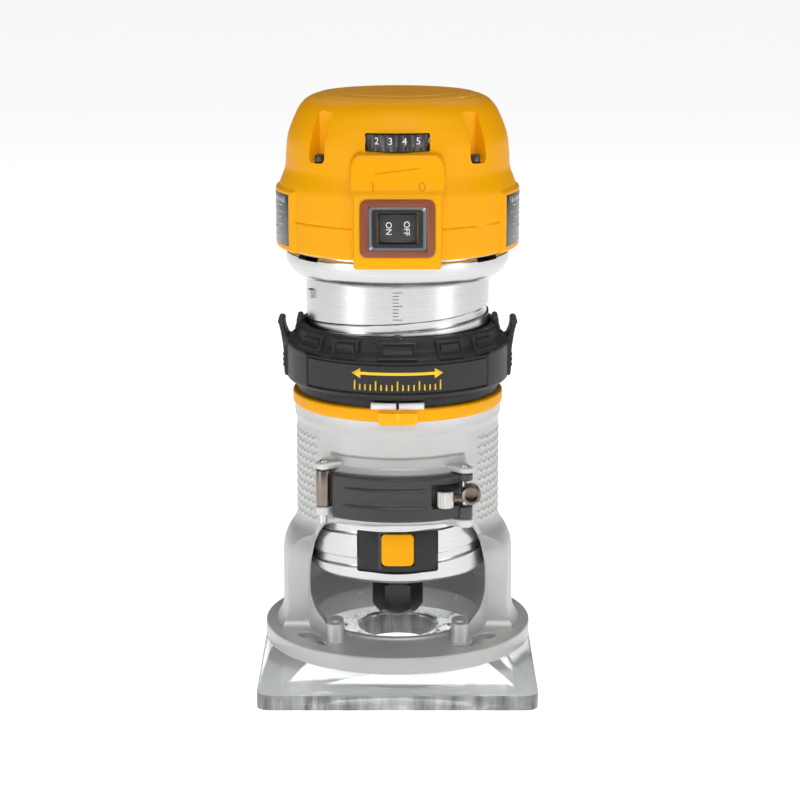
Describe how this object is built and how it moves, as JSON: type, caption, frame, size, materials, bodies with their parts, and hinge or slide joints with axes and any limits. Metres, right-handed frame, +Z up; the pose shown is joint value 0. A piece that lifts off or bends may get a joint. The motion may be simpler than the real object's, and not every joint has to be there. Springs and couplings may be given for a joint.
{
  "type": "trim router",
  "caption": "Hand-held trim router: round motor with a clamped fixed base, threaded depth ring, collet, spindle lock, rocker switch and speed dial.",
  "frame": {"origin": "spindle axis where it meets the sole of the sub-base", "axes": "+Z up along the spindle towards the cap, -Y towards the operator (switch, lever and straight edge of the sub-base), +X to the operator's right"},
  "size_m": [0.1026, 0.1233, 0.2166],
  "materials": {
    "clear_polycarbonate": "clear moulded polycarbonate",
    "cast_aluminium": "fine bead-blasted casting",
    "machined_aluminium": "turned, bright",
    "yellow_plastic": "fine moulded texture",
    "black_plastic": "glass-filled nylon, fine texture",
    "grey_plastic": "moulded lever",
    "white_plastic": "smooth",
    "steel": "zinc plated",
    "spring_steel": "nickel-toned strip",
    "black_steel": "black oxide",
    "bearing_steel": "ground",
    "laminated_steel": "stacked laminations",
    "copper": "enamelled wire",
    "brass": "plain",
    "carbon": "pressed carbon",
    "rubber_boot": "translucent orange-brown rubber",
    "label_black": "plain foil",
    "circuit_board": "glass-epoxy board"
  },
  "bodies": {
    "base": {"sub_base": "clear_polycarbonate", "sub_base_screws": "steel", "base_housing": "cast_aluminium", "guide_key": "steel", "clamp_strap": "spring_steel", "clamp_anchor_pin": "steel", "clamp_pivot_pin": "steel"},
    "clamp": {"clamp_lever": "grey_plastic", "clamp_roller": "steel", "clamp_nut": "spring_steel"},
    "zero_ring": {"zero_ring": "yellow_plastic", "index_pads": "white_plastic"},
    "depth_ring": {"depth_ring": "black_plastic", "tab_pins": "steel", "tab_springs": "steel"},
    "tab_right": {"release_tab_right": "black_plastic"},
    "tab_left": {"release_tab_left": "black_plastic"},
    "motor": {"motor_can": "machined_aluminium", "nose_plate": "black_plastic", "bearing_plate": "cast_aluminium", "lower_bearing": "bearing_steel", "upper_bearing": "bearing_steel", "bearing_bridge": "black_plastic", "end_flange": "machined_aluminium", "stator_core": "laminated_steel", "field_windings": "copper", "brush_holders": "brass", "carbon_brushes": "carbon", "brush_springs": "steel", "lock_plate": "black_plastic", "lock_guide": "black_plastic", "lock_spring": "steel", "motor_cap": "yellow_plastic", "cap_screws": "steel", "label_plates": "label_black", "switch_boot": "rubber_boot", "switch_body": "black_plastic", "rocker_pin": "steel", "speed_potentiometer": "grey_plastic", "control_board": "circuit_board", "cord_inlet": "black_plastic"},
    "lock_button": {"lock_button": "yellow_plastic"},
    "rocker": {"rocker": "black_plastic"},
    "speed_dial": {"speed_dial": "black_plastic"},
    "rotor": {"spindle": "bearing_steel", "cooling_fan": "black_plastic", "armature_core": "laminated_steel", "armature_windings": "copper", "commutator": "copper"},
    "collet": {"collet": "steel"},
    "collet_nut": {"collet_nut": "black_steel"}
  },
  "joints": [
    {"name": "clamp_swing", "type": "hinge", "parent": "base", "child": "clamp", "pos_m": [0.025, -0.0335, 0.07], "axis": [0, 0, 1], "range_deg": [0, 75]},
    {"name": "zero_ring_turn", "type": "hinge", "parent": "base", "child": "zero_ring", "pos_m": [0, 0, 0.103], "axis": [0, 0, 1], "range_deg": [-180, 180]},
    {"name": "motor_lift", "type": "slide", "parent": "base", "child": "motor", "axis": [0, 0, 1], "range_m": [-0.00635, 0.03175]},
    {"name": "depth_ring_turn", "type": "hinge", "parent": "base", "child": "depth_ring", "pos_m": [0, 0, 0.118], "axis": [0, 0, 1], "range_deg": [-900, 180]},
    {"name": "tab_right_squeeze", "type": "hinge", "parent": "depth_ring", "child": "tab_right", "pos_m": [0.0398, 0, 0.1215], "axis": [0, -1, 0], "range_deg": [0, 9], "stiffness_Nm_per_rad": 0.2},
    {"name": "tab_left_squeeze", "type": "hinge", "parent": "depth_ring", "child": "tab_left", "pos_m": [-0.0398, 0, 0.1215], "axis": [0, 1, 0], "range_deg": [0, 9], "stiffness_Nm_per_rad": 0.2},
    {"name": "lock_press", "type": "slide", "parent": "motor", "child": "lock_button", "axis": [0, 1, 0], "range_m": [0, 0.004], "stiffness_N_per_m": 500, "deforming": ["lock_spring"]},
    {"name": "rocker_tilt", "type": "hinge", "parent": "motor", "child": "rocker", "pos_m": [0, -0.044, 0.1722], "axis": [0, 0, 1], "range_deg": [-6, 6]},
    {"name": "dial_turn", "type": "hinge", "parent": "motor", "child": "speed_dial", "pos_m": [0, -0.0246, 0.2015], "axis": [0, 0, 1], "range_deg": [-135, 135]},
    {"name": "rotor_spin", "type": "hinge", "parent": "motor", "child": "rotor", "pos_m": [0, 0, 0.1], "axis": [0, 0, 1], "continuous": true},
    {"name": "collet_release", "type": "slide", "parent": "rotor", "child": "collet", "axis": [0, 0, -1], "range_m": [0, 0.003]},
    {"name": "nut_turn", "type": "hinge", "parent": "collet", "child": "collet_nut", "pos_m": [0, 0, 0.0215], "axis": [0, 0, 1], "range_deg": [-720, 0]}
  ],
  "couplings": [
    {"joint": "depth_ring_turn", "follows": "motor_lift", "rad_per_m": -494.74},
    {"joint": "nut_turn", "follows": "collet_release", "rad_per_m": -4188.8}
  ]
}
